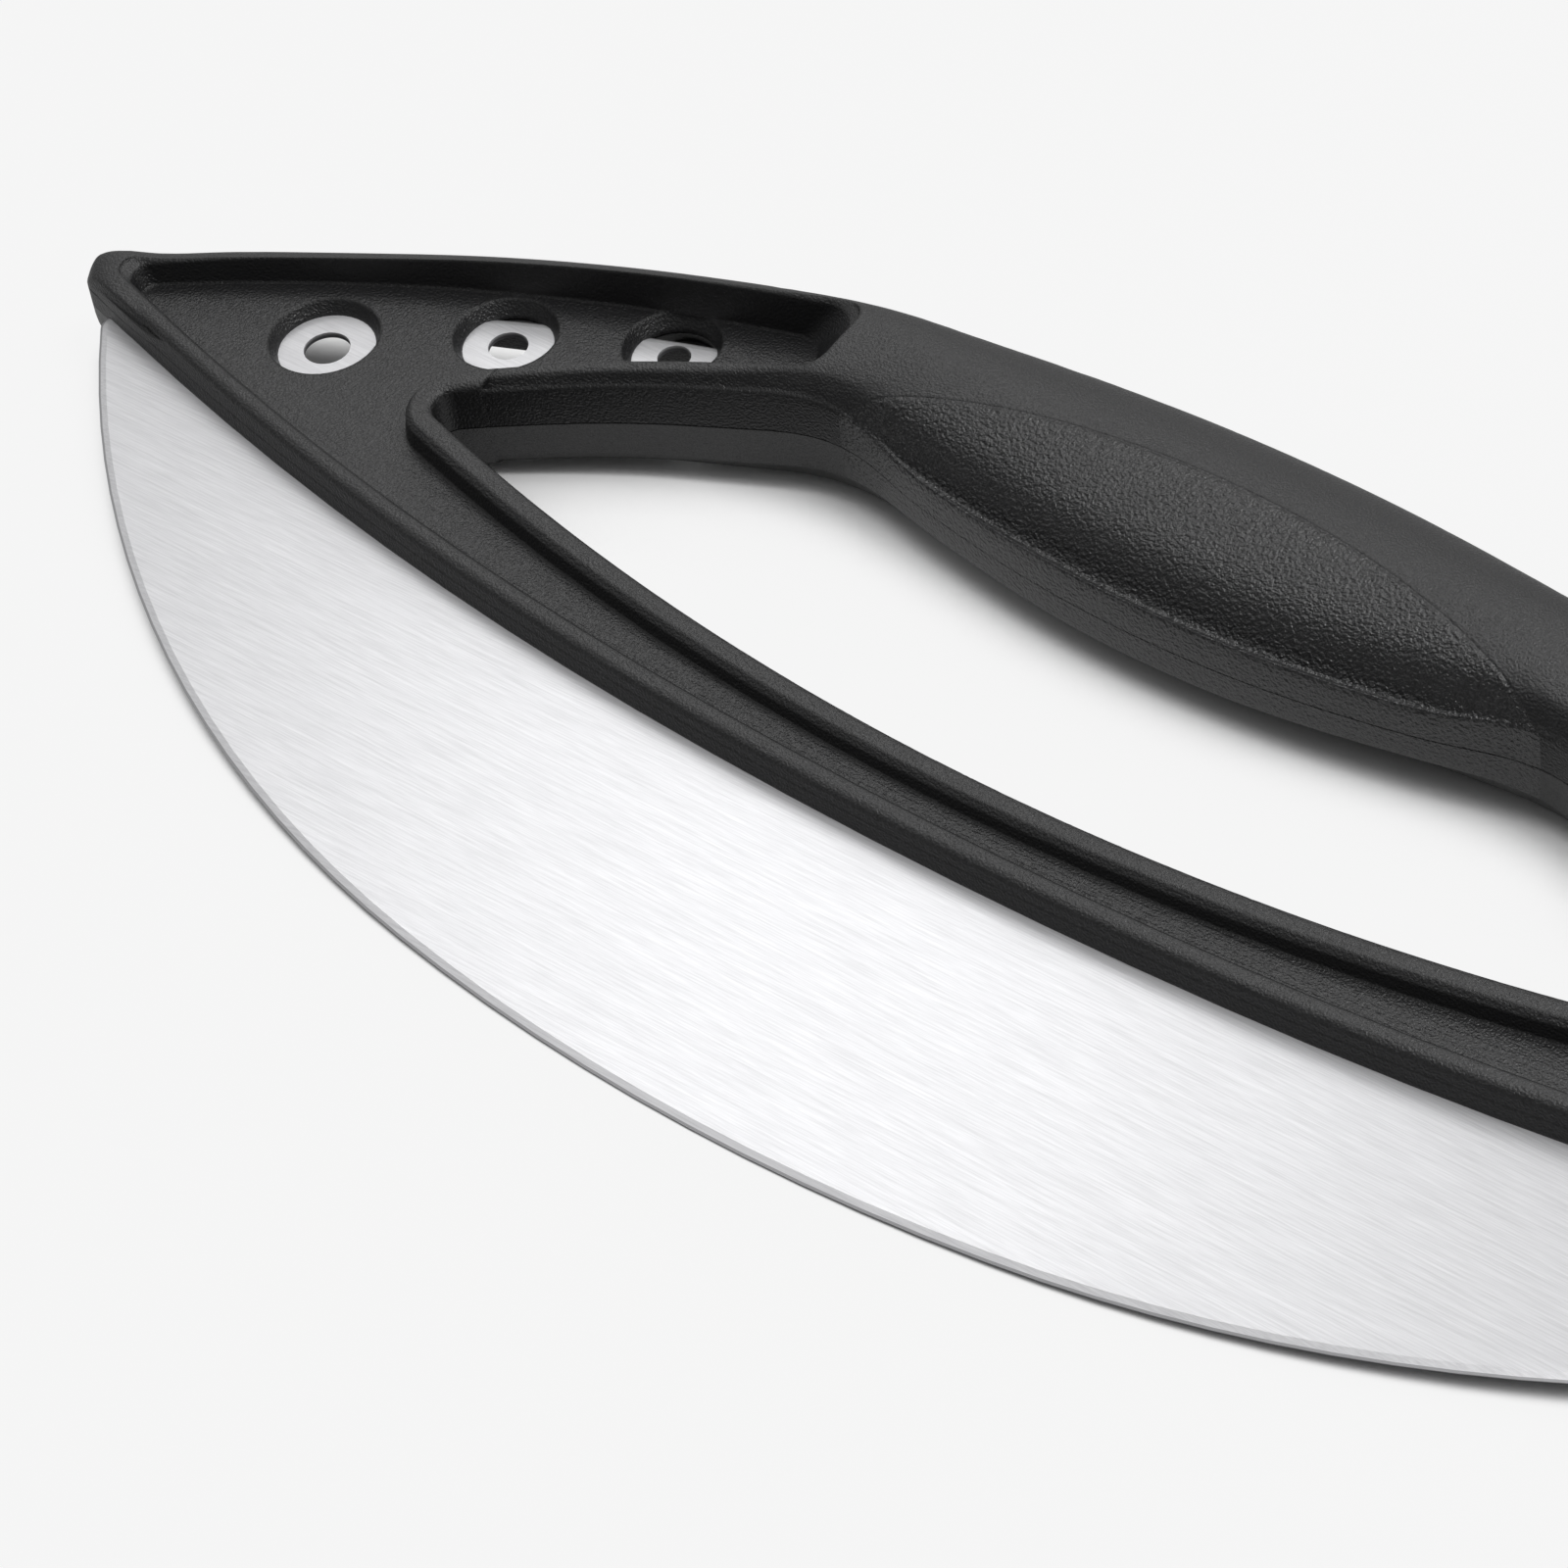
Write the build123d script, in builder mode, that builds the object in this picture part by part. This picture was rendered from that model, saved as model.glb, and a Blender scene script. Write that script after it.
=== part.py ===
from build123d import *
from math import asin, atan2, cos, degrees, exp, log, pi, radians, sin, sqrt, tan
import os

# A rocking pizza slicer: a crescent of sheet steel moulded into a black plastic
# frame. The frame closes a loop: a channel-shaped bar along the steel, a recessed
# panel with three hang holes at each end, and an oval handle over the finger window.
# The tool is drawn flat, with X along its length, Y from the steel towards the
# handle and Z through its thickness, and z = 0 in the middle of the steel sheet.
# The spine, where steel and plastic meet, passes through the origin. At the end
# the whole tool is laid down as it rests on a table.

# Driving sizes, in millimetres.

# Steel sheet.
sheet_thickness = 1.0
edge_depth = 51.2
edge_radius = 305.0
edge_turn_x = 48.5
edge_end_radius = 205.0
bevel_width = 1.2
edge_land = 0.16
sheet_cover = 4.0
sheet_inset = 8.0
horn_end_x = 80.0
hang_bore_diameters = [7.0, 6.0, 5.0]
hang_bore_places = [(136.7, 34.2), (113.8, 48.9), (91.2, 60.0)]

# Outline of the frame.
spine_radius = 790.0
spine_turn_x = 49.0
spine_end_radius = 590.0
arch_apex_y = 86.6
arch_radius = 297.0
nose_radius = 3.4

# Thickness of the frame, from the middle of the sheet to one face.
spine_half_thickness = 5.1
arch_half_thickness = 12.0
handle_swell = 2.6
floor_cover = 2.4

# Rims round the recess, and the finger window.
bar_rim_width = 4.6
arch_rim_width = 5.0
window_rim_width = 4.4
window_low_y = 12.8
window_low_radius = 414.0
window_top_y = 70.2
window_top_radius = 173.0
window_corner_radius = 3.0
recess_end_x = 71.0
recess_ramp_length = 7.5
recess_corner_radius = 2.5
recess_end_radius = 4.5
wall_spread = 0.5
brim_depth = 0.9
brim_width = 0.8
horn_corner_radius = 3.0
crest_round = 1.2
collar_diameters = [16.8, 15.8, 14.8]
collar_narrowing = 2.2

# Handle and its soft pad.
belly_y = 50.0
belly_radius = 190.0
belly_blend = 1.2
pad_thickness = 2.2
pad_top_y = 70.2
pad_radius = 152.0

# Angles, in degrees.
bar_draft = 10.0

# Shapes without a unit: the powers of the superellipse across the arch.
oval_power = 2.0
arm_power = 3.2
rim_power = 6.0
arm_start_share = 0.6
arm_end_share = 1.3
tip_depth_share = 0.85
nose_height_share = 0.55
ramp_shares = [0.0, 0.75, 0.9, 1.0]
overrun = 60.0
section_steps = 8

# Places that follow from the sizes above.
arch_centre_y = arch_apex_y - arch_radius
window_low_centre_y = window_low_y + window_low_radius
window_top_centre_y = window_top_y - window_top_radius
belly_centre_y = belly_y + belly_radius
floor_height = sheet_thickness / 2 + floor_cover
thickness_slope = (arch_half_thickness - spine_half_thickness) / arch_apex_y


def rocker(low_y, radius, turn_x, end_radius):
    """A long curve of a middle arc and a tighter end arc, tangent at turn_x.

    Gives the point where they meet and the centre of the end arc.
    """
    lean = asin(turn_x / radius)
    turn = (turn_x, low_y + radius * (1 - cos(lean)))
    centre = (turn_x - end_radius * sin(lean), turn[1] + end_radius * cos(lean))
    return turn, centre


def meet(centre_a, radius_a, centre_b, radius_b):
    """The right-hand point where two circles cross, a above b."""
    across, down = centre_b[0] - centre_a[0], centre_b[1] - centre_a[1]
    gap = sqrt(across**2 + down**2)
    along = (radius_a**2 - radius_b**2 + gap**2) / (2 * gap)
    side = sqrt(radius_a**2 - along**2)
    ux, uy = across / gap, down / gap
    return (centre_a[0] + ux * along - uy * side, centre_a[1] + uy * along + ux * side)


def between(centre, radius, start, end):
    """The point of an arc halfway between two of its points."""
    mid_x = (start[0] + end[0]) / 2 - centre[0]
    mid_y = (start[1] + end[1]) / 2 - centre[1]
    size = sqrt(mid_x**2 + mid_y**2)
    return (centre[0] + mid_x / size * radius, centre[1] + mid_y / size * radius)


def flip(point):
    return (-point[0], point[1])


def crescent(low_y, radius, turn_x, end_radius, top_radius):
    """Outline between a rocker curve below and a circle of the arch above."""
    turn, centre = rocker(low_y, radius, turn_x, end_radius)
    tip = meet(centre, end_radius, (0, arch_centre_y), top_radius)
    mid = between(centre, end_radius, turn, tip)
    ThreePointArc(flip(turn), (0, low_y), turn)
    ThreePointArc(turn, mid, tip)
    ThreePointArc(tip, (0, arch_centre_y + top_radius), flip(tip))
    ThreePointArc(flip(tip), flip(mid), flip(turn))


def window_outline(grow):
    """The finger window without the handle's belly, grown on all sides."""
    round_radius = window_corner_radius + grow
    low_centre, low_radius = (0, window_low_centre_y), window_low_radius + grow
    top_centre, top_radius = (0, window_top_centre_y), window_top_radius + grow
    centre = meet(
        low_centre, low_radius - round_radius, top_centre, top_radius - round_radius
    )
    low_end = between(low_centre, low_radius, centre, centre)
    top_end = between(top_centre, top_radius, centre, centre)
    corner = between(centre, round_radius, low_end, top_end)
    ThreePointArc(flip(low_end), (0, window_low_y - grow), low_end)
    ThreePointArc(low_end, corner, top_end)
    ThreePointArc(top_end, (0, window_top_y + grow), flip(top_end))
    ThreePointArc(flip(top_end), flip(corner), flip(low_end))


def ring_face(low_y, radius, turn_x, end_radius, top_radius, grow, half_gap, tip, corner):
    """The crescent less the grown window, open at the handle, corners rounded."""
    with BuildPart() as ring:
        with BuildSketch():
            with BuildLine():
                crescent(low_y, radius, turn_x, end_radius, top_radius)
            make_face()
            with BuildLine():
                window_outline(grow)
            make_face(mode=Mode.SUBTRACT)
            with Locations((0, window_corner[1] + window_corner_radius + overrun)):
                Rectangle(2 * half_gap, 2 * overrun, mode=Mode.SUBTRACT)
        extrude(amount=-sheet_thickness)
        upright = ring.edges().filter_by(Axis.Z)
        tips = upright.sort_by(Axis.X)
        fillet([tips[0], tips[-1]], tip)
        upright = ring.edges().filter_by(Axis.Z)
        ends = upright.filter_by(lambda e: abs(abs(e.center().X) - half_gap) < edge_land)
        fillet(ends, corner)
    return ring.faces().filter_by(Plane.XY).sort_by(Axis.Z)[-1]


def skin_height(y):
    """Half thickness of the wedge-shaped frame at a height y."""
    return spine_half_thickness + thickness_slope * y


def soft_least(a, b, blend):
    """The lesser of two lengths, rounded where they cross."""
    least = min(a, b)
    return least - blend * log(exp((least - a) / blend) + exp((least - b) / blend))


def ease(value, start, end):
    """Runs smoothly from 0 at start to 1 at end."""
    t = min(max((value - start) / (end - start), 0), 1)
    return t * t * (3 - 2 * t)


def reach(turn, centre, radius, side):
    """Distance from the arch's centre, at an angle from Y, to a circle."""
    lift = centre[1] - arch_centre_y
    along = centre[0] * sin(turn) + lift * cos(turn)
    across = centre[0] * cos(turn) - lift * sin(turn)
    return along + side * sqrt(max(radius**2 - across**2, 0))


# The nose is a small arc between the arch's circle and the end arc of the spine.
spine_turn, spine_end_centre = rocker(0, spine_radius, spine_turn_x, spine_end_radius)
nose_centre = meet(
    spine_end_centre, spine_end_radius - nose_radius,
    (0, arch_centre_y), arch_radius - nose_radius,
)
nose_angle = atan2(nose_centre[0], nose_centre[1] - arch_centre_y)
nose_spread = asin(nose_radius / (arch_radius - nose_radius))
spine_touch = (
    spine_end_centre[0] + (nose_centre[0] - spine_end_centre[0])
    * spine_end_radius / (spine_end_radius - nose_radius),
    spine_end_centre[1] + (nose_centre[1] - spine_end_centre[1])
    * spine_end_radius / (spine_end_radius - nose_radius),
)
touch_angle = atan2(spine_touch[0], spine_touch[1] - arch_centre_y)
window_corner = meet(
    (0, window_low_centre_y), window_low_radius,
    (0, window_top_centre_y), window_top_radius,
)
corner_angle = atan2(window_corner[0], window_corner[1] - arch_centre_y)
notch_angle = asin(recess_end_x / arch_radius)


def arch_span(turn):
    """Outer and inner distance of the arch from its centre at an angle from Y."""
    if turn > nose_angle:
        outer = reach(turn, nose_centre, nose_radius, 1)
    else:
        outer = arch_radius
    if turn > touch_angle:
        low = reach(turn, nose_centre, nose_radius, -1)
    else:
        low = reach(turn, spine_end_centre, spine_end_radius, -1)
    share = tip_depth_share
    share += (1 - tip_depth_share) * ease(turn, (corner_angle + nose_angle) / 2, nose_angle)
    depth = arch_radius - reach(turn, (0, window_top_centre_y), window_top_radius, 1)
    if abs(sin(turn)) * (belly_centre_y - arch_centre_y) < belly_radius:
        belly = arch_radius - reach(turn, (0, belly_centre_y), belly_radius, -1)
        depth = -soft_least(-depth, -belly, belly_blend)
    if turn > nose_angle:
        return outer, low
    return outer, outer - soft_least(depth, (outer - low) * share, belly_blend)


def arch_section(theta, skin):
    """A closed oval across the arch, on a plane through the arch's centre.

    The oval is a superellipse |x|**n + |z|**n = 1. Its power n rises from the
    handle's oval to the squarer arms, more so on the window's side, and its
    height follows the wedge shape.
    """
    turn = abs(theta)
    square = ease(turn, notch_angle * arm_start_share, notch_angle * arm_end_share)
    outer_power = oval_power + (arm_power - oval_power) * square
    inner_power = oval_power + (rim_power - oval_power) * square
    swell = handle_swell * (1 - square)
    outer, inner = arch_span(turn)
    half = (outer - inner) / 2 - skin
    middle = (outer + inner) / 2
    end = min(max((turn - nose_angle) / nose_spread, 0), 1)
    shrink = 1 - nose_height_share * end**2
    points = []
    for step in range(section_steps + 1):
        angle = pi * step / section_steps
        c, s = cos(angle), abs(sin(angle))
        power = outer_power if c >= 0 else inner_power
        out = middle + half * abs(c) ** (2 / power) * (1 if c >= 0 else -1)
        y = arch_centre_y + out * cos(theta)
        height = (skin_height(y) + swell) * shrink - skin
        points.append((out, height * s ** (2 / power) if 0 < step < section_steps else 0))
    # The plane's x axis points outwards along the ray and its y axis along Z.
    plane = Plane(
        origin=(0, arch_centre_y, 0), x_dir=(sin(theta), cos(theta), 0),
        z_dir=(cos(theta), -sin(theta), 0),
    )
    with BuildSketch(plane) as section:
        beats = [step / section_steps for step in range(section_steps + 1)]
        with BuildLine():
            add(Edge.make_spline(points, tangents=[(0, 1), (0, -1)], parameters=beats))
            Line(points[-1], points[0])
        make_face()
    return section.sketch


# Stations of the loft, as shares of the turn to the nose and of the nose itself.
station_shares = [
    0.11, 0.21, 0.27, 0.32, 0.37, 0.43, 0.5, 0.57, 0.64, 0.71, 0.78, 0.85, 0.91, 0.96,
]
nose_shares = [0.0, 0.5, 0.85, 0.97]
half_stations = [share * nose_angle for share in station_shares]
half_stations += [nose_angle + share * nose_spread for share in nose_shares]
stations = [-turn for turn in reversed(half_stations[:3])] + [0] + half_stations


def arch_loft(skin, limit):
    """A quarter of the arch, or of its core under a skin, out to a limit angle."""
    run = loft([arch_section(turn, skin) for turn in stations if turn < limit])
    return run & (Pos(arch_radius, 0, 0) * Box(2 * arch_radius, arch_radius, arch_radius))


def four_ways(quarter):
    """The whole piece from the quarter in front of the sheet on the right."""
    half = quarter + mirror(quarter, about=Plane.XY)
    return half + mirror(half, about=Plane.YZ)


# The steel sheet, with its two horns that run up inside the plastic.
bevel_depth = (sheet_thickness - edge_land) / 2
with BuildPart() as blade:
    sheet = ring_face(
        -edge_depth, edge_radius, edge_turn_x, edge_end_radius,
        arch_radius - sheet_inset, sheet_cover, horn_end_x, horn_corner_radius,
        horn_corner_radius,
    )
    extrude(sheet, amount=sheet_thickness / 2, both=True)
    for facing in (1, -1):
        side = blade.faces().filter_by(Plane.XY).sort_by(Axis.Z)[(facing - 1) // 2]
        ground = side.edges().filter_by(GeomType.CIRCLE).filter_by(
            lambda edge: edge_end_radius / 2 < edge.radius < window_low_radius
            and edge.arc_center.Y > 0
        )
        chamfer(ground, bevel_width, bevel_depth, reference=side)
    for diameter, place in zip(hang_bore_diameters, hang_bore_places):
        with Locations(place, flip(place)):
            Hole(diameter / 2)

# The bar, with the flat end panels as one crescent, its sides drafted both ways.
with BuildPart() as body:
    with BuildSketch():
        with BuildLine():
            crescent(
                0, spine_radius, spine_turn_x, spine_end_radius,
                arch_radius - arch_rim_width - crest_round,
            )
        make_face()
    extrude(amount=arch_half_thickness, both=True, taper=bar_draft)
    with BuildSketch(Plane.YZ):
        low, high = -overrun, 2 * overrun
        Polygon(
            (low, -skin_height(low)), (high, -skin_height(high)),
            (high, skin_height(high)), (low, skin_height(low)), align=None,
        )
    extrude(amount=2 * arch_radius, both=True, mode=Mode.INTERSECT)
    crest = body.edges().filter_by(
        lambda edge: abs(edge.center().Z) > spine_half_thickness
        and edge.center().Y < edge_depth / 2
    )
    fillet(crest, crest_round)
    with BuildSketch():
        with BuildLine():
            window_outline(0)
        make_face()
    extrude(amount=2 * arch_half_thickness, both=True, mode=Mode.SUBTRACT)
    with BuildSketch():
        with Locations((0, window_corner[1] + window_corner_radius + overrun)):
            Rectangle(2 * window_corner[0] - 2 * recess_ramp_length, 2 * overrun)
    extrude(amount=2 * arch_half_thickness, both=True, mode=Mode.SUBTRACT)
    crest = body.edges().filter_by(
        lambda edge: abs(edge.center().Z) > spine_half_thickness
        and spine_half_thickness < edge.center().Y < window_corner[1]
        and edge.length > 2 * recess_end_x
    )
    fillet(crest, crest_round)

# The recess: drafted walls from a flat floor, a bevelled brim that follows the
# wedge-shaped faces, and a ramp up to the handle at each end.
def recess_outline(wider, climb, height=None):
    """The recess's outline, wider all round, and its ends moved up the ramp.

    It lies at the floor's height, or in the frame's sloping face if a height
    above that face is given.
    """
    outline = ring_face(
        bar_rim_width - wider, spine_radius - bar_rim_width + wider, spine_turn_x,
        spine_end_radius - bar_rim_width + wider, arch_radius - arch_rim_width + wider,
        window_rim_width - wider, recess_end_x - recess_ramp_length * climb,
        recess_corner_radius, recess_end_radius,
    )
    if height is None:
        return Pos(0, 0, floor_height) * outline
    face = Plane(
        origin=(0, 0, spine_half_thickness + height), x_dir=(1, 0, 0),
        z_dir=(0, -thickness_slope, 1),
    )
    return face.location * outline


recess = loft(
    [
        recess_outline(0, ramp_shares[0]),
        recess_outline(wall_spread, ramp_shares[1], -brim_depth),
        recess_outline(wall_spread + brim_width, ramp_shares[2], 0),
        recess_outline(wall_spread + brim_width, ramp_shares[3], arch_half_thickness),
    ],
    ruled=True,
)

# The soft pad of the handle's underside, below a long arc.
arch = arch_loft(0, pi)
core = arch_loft(pad_thickness, corner_angle)
below_pad = Pos(0, pad_top_y - pad_radius, 0) * Cylinder(pad_radius, 4 * arch_half_thickness)
pad = (arch & below_pad) - core
with BuildPart() as grip:
    add(four_ways(pad))

# The frame: arch and body joined, then recesses, openings and the other pieces cut.
quadrant = Box(
    arch_radius, 2 * arch_radius, 2 * arch_half_thickness,
    align=(Align.MIN, Align.CENTER, Align.MIN),
)
quarter = arch + (body.part & quadrant) - recess
for diameter, place in zip(collar_diameters, hang_bore_places):
    low_radius = (diameter - collar_narrowing) / 2
    opening = Cone(low_radius, diameter / 2, floor_cover)
    quarter -= Pos(place[0], place[1], (sheet_thickness + floor_cover) / 2) * opening
    quarter -= Pos(*place) * Cylinder(low_radius, sheet_thickness)
quarter = quarter - blade.part - pad
with BuildPart() as frame:
    add(four_ways(quarter))

# The tool lies on its handle and its cutting edge: it is tipped about X
# and set down with the middle of its bounding box over the origin.
handle_y = (arch_apex_y + belly_y) / 2
rest_drop = skin_height(handle_y) + handle_swell - edge_land / 2
rest_tilt = degrees(atan2(rest_drop, handle_y + edge_depth))
tipped = [Rot(X=rest_tilt) * piece.part for piece in (blade, frame, grip)]
boxes = [piece.bounding_box() for piece in tipped]
low_x, high_x = min(box.min.X for box in boxes), max(box.max.X for box in boxes)
low_y, high_y = min(box.min.Y for box in boxes), max(box.max.Y for box in boxes)
low_z = min(box.min.Z for box in boxes)
shift = Pos(-(low_x + high_x) / 2, -(low_y + high_y) / 2, -low_z)
blade.part, frame.part, grip.part = [shift * piece for piece in tipped]
blade.part.label = "blade"
frame.part.label = "frame"
grip.part.label = "grip"
os.makedirs("parts", exist_ok=True)
export_step(blade.part, "parts/blade.step")
export_step(frame.part, "parts/frame.step")
export_step(grip.part, "parts/grip.step")
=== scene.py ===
import math
import bpy
import numpy as np
from mathutils import Matrix, Vector

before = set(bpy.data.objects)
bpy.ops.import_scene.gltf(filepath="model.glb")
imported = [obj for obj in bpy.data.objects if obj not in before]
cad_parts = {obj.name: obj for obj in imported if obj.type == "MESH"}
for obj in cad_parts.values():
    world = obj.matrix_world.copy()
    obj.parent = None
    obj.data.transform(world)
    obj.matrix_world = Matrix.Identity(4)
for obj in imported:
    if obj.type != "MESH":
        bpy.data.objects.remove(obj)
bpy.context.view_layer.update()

# Camera: a long lens close to the left end, seen from the right and from the cutting edge. Its
# place and directions were fitted to the hang holes and the outlines, in the steel's own flat
# frame: x along the length, y from the edge to the handle, z out of the sheet, in millimetres
# from the spine. The slicer lies on its handle and its edge, so the steel is tipped about X.
TIP_SINE = 0.108658
TIP_COSINE = math.sqrt(1 - TIP_SINE ** 2)
SPINE_AT = (0.0, -17.626, 5.643)
SENSOR_WIDTH = 36
LENS = 119.25
FAR_LIMIT = 20  # metres, beyond the table's corners
EYE = (325.23, -335.99, 491.21)
TO_THE_RIGHT = (769.861, 627.904, -114.240)
DOWNWARD = (390.467, -604.993, -693.915)
AHEAD = (-504.827, 489.611, -710.937)


def laid(points):
    """Points of the flat frame in mm, set on the table in m: y and z are turned about X by the
    tip's angle, and the spine's place is added."""
    points = np.asarray(points, float)
    x, y, z = points[..., 0], points[..., 1], points[..., 2]
    return np.stack([x + SPINE_AT[0], y * TIP_COSINE - z * TIP_SINE + SPINE_AT[1],
                     y * TIP_SINE + z * TIP_COSINE + SPINE_AT[2]], -1) / 1000


def heading(direction):
    """A direction of the flat frame, in thousandths, turned about X by the tip's angle."""
    return laid(direction) - laid((0, 0, 0))


camera_data = bpy.data.cameras.new("camera")
camera_data.sensor_width = SENSOR_WIDTH
camera_data.lens = LENS
camera_data.clip_end = FAR_LIMIT
camera = bpy.data.objects.new("camera", camera_data)
bpy.context.collection.objects.link(camera)
bpy.context.scene.camera = camera
axes = np.stack([heading(TO_THE_RIGHT), -heading(DOWNWARD), -heading(AHEAD)], -1)
camera.matrix_world = Matrix.Translation(Vector(laid(EYE))) @ Matrix(axes.tolist()).to_4x4()

# Blade: a sheet of stainless steel 1.0 mm thick, stamped and then brushed lengthwise, with
# an edge ground on both sides. The brushing shows as short streaks and spreads what the steel
# mirrors across them. The ground edge is duller, and painted shade darkens it towards its
# sharp end.
SHEET_NORMAL = heading((0, 0, 1000))
ACROSS = heading((0, 1000, 0))
STREAKS = (110, 3600, 3600)  # per metre: 9 mm long, and drawn 0.3 mm wide so that they show
STREAK_TURN = math.radians(1)
STREAK_DEPTH = 0.00002
GROUND_EDGE = (0.00047, 0.00049)  # heights out of the sheet's middle, in metres
SHARP_END = (0.00024, 0.00030)
FADE = {"interpolation_type": "SMOOTHSTEP"}


def linear(code):
    """An sRGB hex colour turned to linear light."""
    parts = [int(code[i:i + 2], 16) / 255 for i in (1, 3, 5)]
    return tuple(c / 12.92 if c <= 0.04045 else ((c + 0.055) / 1.055) ** 2.4
                 for c in parts) + (1,)


def bare(owner):
    """The emptied node tree of a material or of the world."""
    owner.use_nodes = True
    owner.node_tree.nodes.clear()
    return owner.node_tree


def put(tree, kind, settings=None, **links):
    """One node, with its settings, and with its inputs linked or filled in. An input is named
    with _ for a space, or as in_ and its number."""
    made = tree.nodes.new(kind)
    for key, value in (settings or {}).items():
        setattr(made, key, value)
    for key, value in links.items():
        name = key.replace("_", " ")
        socket = made.inputs[int(name[3:])] if name.startswith("in ") else made.inputs[name]
        if isinstance(value, bpy.types.NodeSocket):
            tree.links.new(value, socket)
        else:
            socket.default_value = value
    return made


def out_of_sheet(tree, place, centre_y=0.0):
    """Offset from the point (0, centre_y) of the sheet's middle plane, and its part along the
    sheet's normal, which is the height out of that plane, in metres."""
    offset = put(tree, "ShaderNodeVectorMath", {"operation": "SUBTRACT"},
                 in_0=place.outputs["Object"], in_1=tuple(laid((0, centre_y, 0))))
    height = put(tree, "ShaderNodeVectorMath", {"operation": "DOT_PRODUCT"},
                 in_0=offset.outputs[0], in_1=tuple(SHEET_NORMAL))
    return offset.outputs[0], height.outputs["Value"]


def dress(node, material):
    """Gives a CAD piece its material in every slot."""
    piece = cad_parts[node]
    if not piece.data.materials:
        piece.data.materials.append(material)
    for slot in range(len(piece.data.materials)):
        piece.data.materials[slot] = material


brushed_steel = bpy.data.materials.new("brushed stainless steel sheet")
tree = bare(brushed_steel)
place = put(tree, "ShaderNodeTexCoord")
turned = put(tree, "ShaderNodeMapping", {"vector_type": "TEXTURE"},
             Vector=place.outputs["Object"], Rotation=(0, 0, STREAK_TURN))
stretched = put(tree, "ShaderNodeVectorMath", {"operation": "MULTIPLY"},
                in_0=turned.outputs[0], in_1=STREAKS)
streaks = put(tree, "ShaderNodeTexNoise", Vector=stretched.outputs[0], Scale=1.0, Detail=4,
              Roughness=0.65)
tone = put(tree, "ShaderNodeValToRGB", Fac=streaks.outputs["Fac"])
dull, bright = tone.color_ramp.elements
dull.position, dull.color = 0.3, linear("#D4D4D6")
bright.position, bright.color = 0.7, linear("#ECECEE")
ridge = put(tree, "ShaderNodeBump", Strength=0.06, Distance=STREAK_DEPTH,
            Height=streaks.outputs["Fac"])
height = out_of_sheet(tree, place)[1]
level = put(tree, "ShaderNodeMath", {"operation": "ABSOLUTE"}, in_0=height)
# Painted shade: the ground edge is coloured darker than the brushed sheet, and darker still
# towards its sharp end.
in_ground = put(tree, "ShaderNodeMapRange", FADE, Value=level.outputs[0],
                From_Min=GROUND_EDGE[0], From_Max=GROUND_EDGE[1], To_Min=1.0, To_Max=0.0)
dull_and_shaded_edge = put(tree, "ShaderNodeMix", {"data_type": "RGBA"}, in_0=in_ground.outputs["Result"],
             in_6=tone.outputs[0], in_7=linear("#A6A6A8"))
in_sharp = put(tree, "ShaderNodeMapRange", FADE, Value=level.outputs[0],
               From_Min=SHARP_END[0], From_Max=SHARP_END[1], To_Min=1.0, To_Max=0.0)
shaded_to_sharp_end = put(tree, "ShaderNodeMix", {"data_type": "RGBA"}, in_0=in_sharp.outputs["Result"],
            in_6=dull_and_shaded_edge.outputs["Result"], in_7=linear("#77777A"))
# The mirror image spreads across the brushing, along the shader's tangent. The steel is half
# metal and half matt, because the brushed sheet scatters the studio's light evenly.
spread = put(tree, "ShaderNodeCombineXYZ", X=ACROSS[0], Y=ACROSS[1], Z=ACROSS[2])
steel = put(tree, "ShaderNodeBsdfPrincipled", Base_Color=shaded_to_sharp_end.outputs["Result"],
            Metallic=0.5, Roughness=0.36, Anisotropic=0.8, Tangent=spread.outputs[0],
            Normal=ridge.outputs[0])
put(tree, "ShaderNodeOutputMaterial", Surface=steel.outputs[0])
dress("blade", brushed_steel)

# Frame: black polypropylene, injection moulded over the steel in a spark-eroded mould. Its
# matt grain breaks up the light, a thin parting line of painted shade runs round its middle,
# and the bar's floor keeps faint lines of the mould's milling.
BAR_CENTRE = 790.0  # mm, the centre of the bar's arcs on the axis of symmetry
FLOOR_RADIUS = (0.781, 0.776)  # metres from that centre, where the bar's floor begins
FLOOR_LEVEL = (0.0030, 0.0034)  # heights out of the sheet's middle, where it ends
PARTING_LINE = (0.00006, 0.00016)  # heights where the line, 0.2 mm wide, ends
PARTING_SHADE_COLOUR = linear("#020202")
GRAIN = 2700  # per metre: about 0.2 mm in the mould, drawn at 0.4 mm so that it shows
GRAIN_DEPTH = 0.00017
MILLING = 1300  # per metre: lines 0.8 mm apart
MILLING_DEPTH = 0.00022
EDGE_RADIUS = 0.0007
EXTRA_DRAFT = -0.25  # the walls shade as if they leaned back 14 degrees more


def arc_distance(tree, place, centre_y):
    """Distance in the sheet's plane from the point (0, centre_y), which is the length of the
    offset less its part along the normal, and the height out of that plane, in metres."""
    offset, height = out_of_sheet(tree, place, centre_y)
    along = put(tree, "ShaderNodeVectorMath", {"operation": "SCALE"},
                in_0=tuple(SHEET_NORMAL), Scale=height)
    flat = put(tree, "ShaderNodeVectorMath", {"operation": "SUBTRACT"},
               in_0=offset, in_1=along.outputs[0])
    radius = put(tree, "ShaderNodeVectorMath", {"operation": "LENGTH"}, in_0=flat.outputs[0])
    return radius.outputs["Value"], height


grained_plastic = bpy.data.materials.new("moulded black polypropylene")
tree = bare(grained_plastic)
place = put(tree, "ShaderNodeTexCoord")
radius, height = arc_distance(tree, place, BAR_CENTRE)
level = put(tree, "ShaderNodeMath", {"operation": "ABSOLUTE"}, in_0=height)
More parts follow.
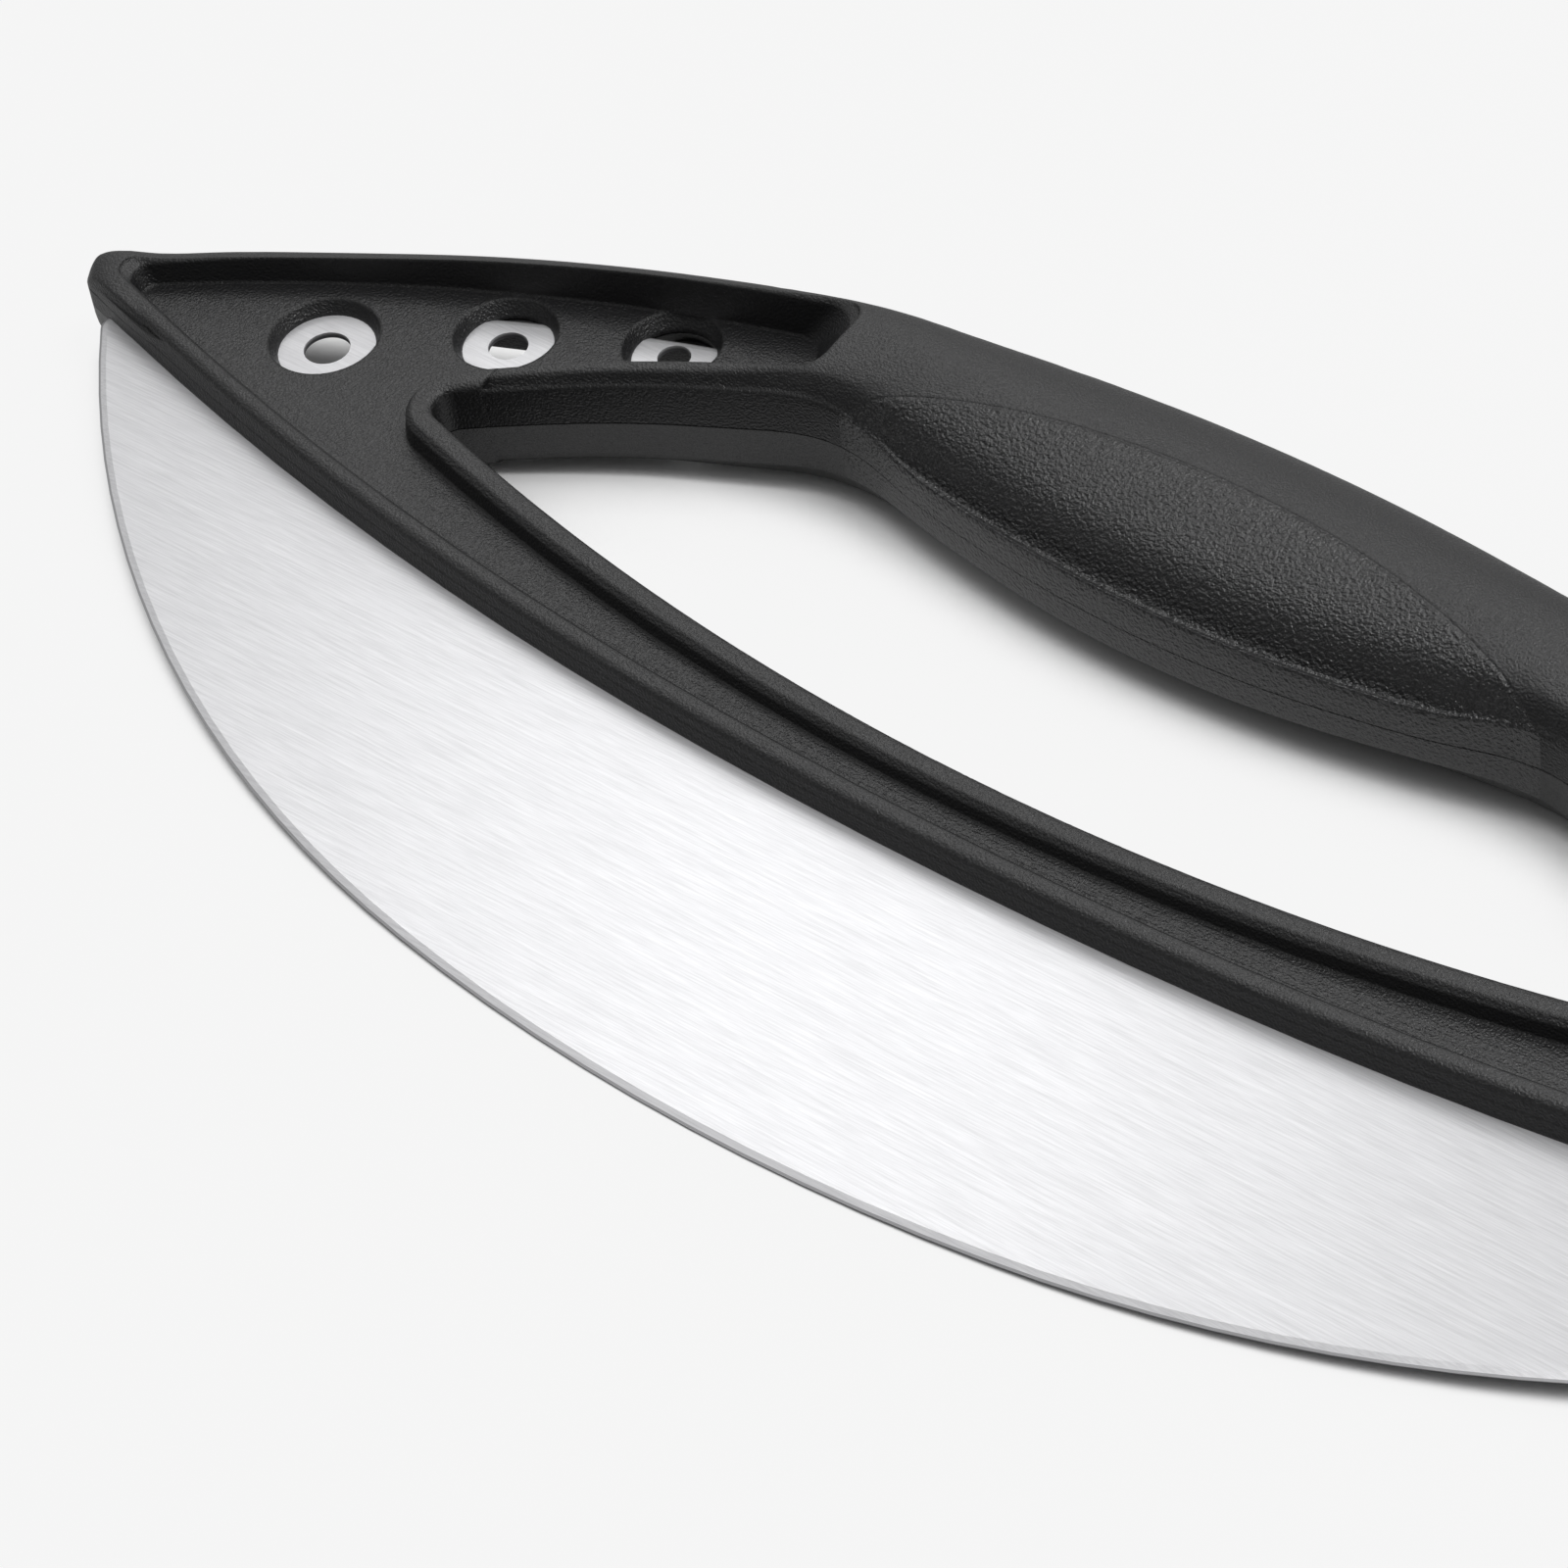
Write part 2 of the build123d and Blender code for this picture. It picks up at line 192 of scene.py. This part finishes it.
# The parting line is painted shade: black and metallic, so that it mirrors nothing.
parting_shade = put(tree, "ShaderNodeMapRange", FADE, Value=level.outputs[0],
           From_Min=PARTING_LINE[0], From_Max=PARTING_LINE[1], To_Min=1.0, To_Max=0.0)
base_with_parting_shade = put(tree, "ShaderNodeMix", {"data_type": "RGBA"}, in_0=parting_shade.outputs["Result"],
            in_6=linear("#151516"), in_7=PARTING_SHADE_COLOUR)
grain = put(tree, "ShaderNodeTexNoise", Vector=place.outputs["Object"], Scale=GRAIN,
            Detail=1, Roughness=0.5)
lines = put(tree, "ShaderNodeTexNoise", {"noise_dimensions": "1D"}, W=radius, Scale=MILLING,
            Detail=1)
low = put(tree, "ShaderNodeMapRange", FADE, Value=level.outputs[0],
          From_Min=FLOOR_LEVEL[0], From_Max=FLOOR_LEVEL[1], To_Min=1.0, To_Max=0.0)
outer = put(tree, "ShaderNodeMapRange", FADE, Value=radius,
            From_Min=FLOOR_RADIUS[0], From_Max=FLOOR_RADIUS[1], To_Min=1.0, To_Max=0.0)
bar_floor = put(tree, "ShaderNodeMath", {"operation": "MULTIPLY"},
                in_0=low.outputs["Result"], in_1=outer.outputs["Result"])
milled = put(tree, "ShaderNodeMath", {"operation": "MULTIPLY"},
             in_0=lines.outputs["Fac"], in_1=bar_floor.outputs[0])
lean = put(tree, "ShaderNodeMath", {"operation": "MULTIPLY"},
           in_0=level.outputs[0], in_1=EXTRA_DRAFT)
soft_edge = put(tree, "ShaderNodeBevel", {"samples": 4}, Radius=EDGE_RADIUS)
draft = put(tree, "ShaderNodeBump", Strength=1.0, Distance=1.0, Height=lean.outputs[0],
            Normal=soft_edge.outputs[0])
marks = put(tree, "ShaderNodeBump", Strength=1.0, Distance=MILLING_DEPTH,
            Height=milled.outputs[0], Normal=draft.outputs[0])
bumps = put(tree, "ShaderNodeBump", Strength=1.0, Distance=GRAIN_DEPTH,
            Height=grain.outputs["Fac"], Normal=marks.outputs[0])
plastic = put(tree, "ShaderNodeBsdfPrincipled", Base_Color=base_with_parting_shade.outputs["Result"],
              Metallic=parting_shade.outputs["Result"], Roughness=0.4, Specular_IOR_Level=0.65,
              Normal=bumps.outputs[0])
put(tree, "ShaderNodeOutputMaterial", Surface=plastic.outputs[0])
dress("frame", grained_plastic)

# Grip: a soft black elastomer, moulded in a second shot into the underside of the handle.
# The mould's leather grain gives it a speckled shine, and the pad's upper edge is rounded
# over its last 0.6 mm.
PAD_CENTRE = -81.8  # mm, the centre of the pad's upper arc on the axis of symmetry
SHOULDER = (0.1514, 0.1520)  # metres from that centre, where the edge is rounded
SHOULDER_DEPTH = 0.0002
LEATHER = 1850  # per metre: about 0.5 mm from bump to bump, as on the real pad
LEATHER_DEPTH = 0.00045
soft_pad = bpy.data.materials.new("moulded black elastomer")
tree = bare(soft_pad)
place = put(tree, "ShaderNodeTexCoord")
radius, height = arc_distance(tree, place, PAD_CENTRE)
level = put(tree, "ShaderNodeMath", {"operation": "ABSOLUTE"}, in_0=height)
# The parting line is painted shade here too: black and metallic, so that it mirrors nothing.
parting_shade = put(tree, "ShaderNodeMapRange", FADE, Value=level.outputs[0],
           From_Min=PARTING_LINE[0], From_Max=PARTING_LINE[1], To_Min=1.0, To_Max=0.0)
base_with_parting_shade = put(tree, "ShaderNodeMix", {"data_type": "RGBA"}, in_0=parting_shade.outputs["Result"],
            in_6=linear("#171718"), in_7=PARTING_SHADE_COLOUR)
leather = put(tree, "ShaderNodeTexNoise", Vector=place.outputs["Object"], Scale=LEATHER,
              Detail=2, Roughness=0.5)
shoulder = put(tree, "ShaderNodeMapRange", FADE, Value=radius,
               From_Min=SHOULDER[0], From_Max=SHOULDER[1], To_Min=1.0, To_Max=0.0)
edge = put(tree, "ShaderNodeBump", Strength=1.0, Distance=SHOULDER_DEPTH,
           Height=shoulder.outputs["Result"])
bumps = put(tree, "ShaderNodeBump", Strength=1.0, Distance=LEATHER_DEPTH,
            Height=leather.outputs["Fac"], Normal=edge.outputs[0])
rubber = put(tree, "ShaderNodeBsdfPrincipled", Base_Color=base_with_parting_shade.outputs["Result"],
             Metallic=parting_shade.outputs["Result"], Roughness=0.33, Specular_IOR_Level=0.8,
             Normal=bumps.outputs[0])
put(tree, "ShaderNodeOutputMaterial", Surface=rubber.outputs[0])
dress("grip", soft_pad)

# Table: a plain sheet of matt white paper under and behind the slicer. The camera and the
# slicer's own reflections see it as one pale tone, which gives way to the paper's shadow
# under the slicer and fades from the reflections farther away.
REACH = 3.0
MIRRORED_WITHIN = (0.15, 0.5)  # metres from the middle
MIRRORED_SHARE = 0.65
SHADOW_REACH = 0.03
OPEN_SKY = (0.3, 0.62)  # share of the sky that a point sees, in the shadow and out of it
LIT_SHARE = 0.95
paper_mesh = bpy.data.meshes.new("table")
paper_mesh.from_pydata([(-REACH, -REACH, 0), (REACH, -REACH, 0), (REACH, REACH, 0),
                        (-REACH, REACH, 0)], [], [(0, 1, 2, 3)])
paper_sheet = bpy.data.objects.new("table", paper_mesh)
bpy.context.collection.objects.link(paper_sheet)
white_paper = bpy.data.materials.new("white paper")
tree = bare(white_paper)
sheet = put(tree, "ShaderNodeBsdfPrincipled", Base_Color=linear("#F2F2F2"), Roughness=0.9)
place = put(tree, "ShaderNodeTexCoord")
distance = put(tree, "ShaderNodeVectorMath", {"operation": "LENGTH"},
               in_0=place.outputs["Object"])
within = put(tree, "ShaderNodeMapRange", FADE, Value=distance.outputs["Value"],
             From_Min=MIRRORED_WITHIN[0], From_Max=MIRRORED_WITHIN[1], To_Min=1.0, To_Max=0.0)
mirrored = put(tree, "ShaderNodeMath", {"operation": "MULTIPLY"},
               in_0=within.outputs["Result"], in_1=MIRRORED_SHARE)
seen = put(tree, "ShaderNodeLightPath")
strength = put(tree, "ShaderNodeMath", {"operation": "MAXIMUM"},
               in_0=seen.outputs["Is Camera Ray"], in_1=mirrored.outputs[0])
glow = put(tree, "ShaderNodeEmission", Color=linear("#F6F6F6"), Strength=strength.outputs[0])
looked_at = put(tree, "ShaderNodeMath", {"operation": "MAXIMUM"},
                in_0=seen.outputs["Is Camera Ray"], in_1=seen.outputs["Is Glossy Ray"])
sky = put(tree, "ShaderNodeAmbientOcclusion", {"samples": 12}, Distance=SHADOW_REACH)
lit = put(tree, "ShaderNodeMapRange", FADE, Value=sky.outputs["AO"],
          From_Min=OPEN_SKY[0], From_Max=OPEN_SKY[1], To_Min=0.0, To_Max=LIT_SHARE)
share = put(tree, "ShaderNodeMath", {"operation": "MULTIPLY"},
            in_0=looked_at.outputs[0], in_1=lit.outputs["Result"])
paper = put(tree, "ShaderNodeMixShader", in_0=share.outputs[0], in_1=sheet.outputs[0],
            in_2=glow.outputs[0])
put(tree, "ShaderNodeOutputMaterial", Surface=paper.outputs[0])
paper_mesh.materials.append(white_paper)

# Light: a soft box above and behind the left end, where the steel mirrors it to the camera,
# one overhead, and a white room that is bright above and dark behind the camera.
MIRRORED_SIDE = heading((-490, 466, 737))
OVERHEAD = (0.3, 0.15, 0.94)
BRIGHT_WALL = (-0.2, 0.4, 0.894)
WALL_STRENGTHS = (0.08, 0.85)
BACKDROP = (0.93, 0.93, 0.93, 1)


def soft_box(name, side, distance, size, power):
    """A round soft box that faces the slicer from a side given as a direction."""
    lamp = bpy.data.lights.new(name, "AREA")
    lamp.shape = "DISK"
    lamp.size = size
    lamp.energy = power
    box = bpy.data.objects.new(name, lamp)
    bpy.context.collection.objects.link(box)
    box.location = Vector(side) * distance
    box.rotation_euler = Vector(side).to_track_quat("Z", "Y").to_euler()


soft_box("soft box", MIRRORED_SIDE, distance=1.6, size=0.55, power=2.15)
soft_box("overhead soft box", OVERHEAD, distance=1.1, size=0.5, power=4.5)
room = bpy.data.worlds.new("white room")
bpy.context.scene.world = room
tree = bare(room)
compass = put(tree, "ShaderNodeTexCoord")
towards = put(tree, "ShaderNodeVectorMath", {"operation": "DOT_PRODUCT"},
              in_0=compass.outputs["Generated"], in_1=BRIGHT_WALL)
wall_strength = put(tree, "ShaderNodeMapRange", Value=towards.outputs["Value"], From_Min=0.0,
                    From_Max=1.0, To_Min=WALL_STRENGTHS[0], To_Max=WALL_STRENGTHS[1])
seen = put(tree, "ShaderNodeLightPath")
walls = put(tree, "ShaderNodeBackground", Color=(1, 1, 1, 1),
            Strength=wall_strength.outputs["Result"])
backdrop = put(tree, "ShaderNodeBackground", Color=BACKDROP, Strength=1.0)
around = put(tree, "ShaderNodeMixShader", in_0=seen.outputs["Is Camera Ray"],
             in_1=walls.outputs[0], in_2=backdrop.outputs[0])
put(tree, "ShaderNodeOutputWorld", Surface=around.outputs[0])

bpy.context.scene.view_settings.view_transform = "Standard"
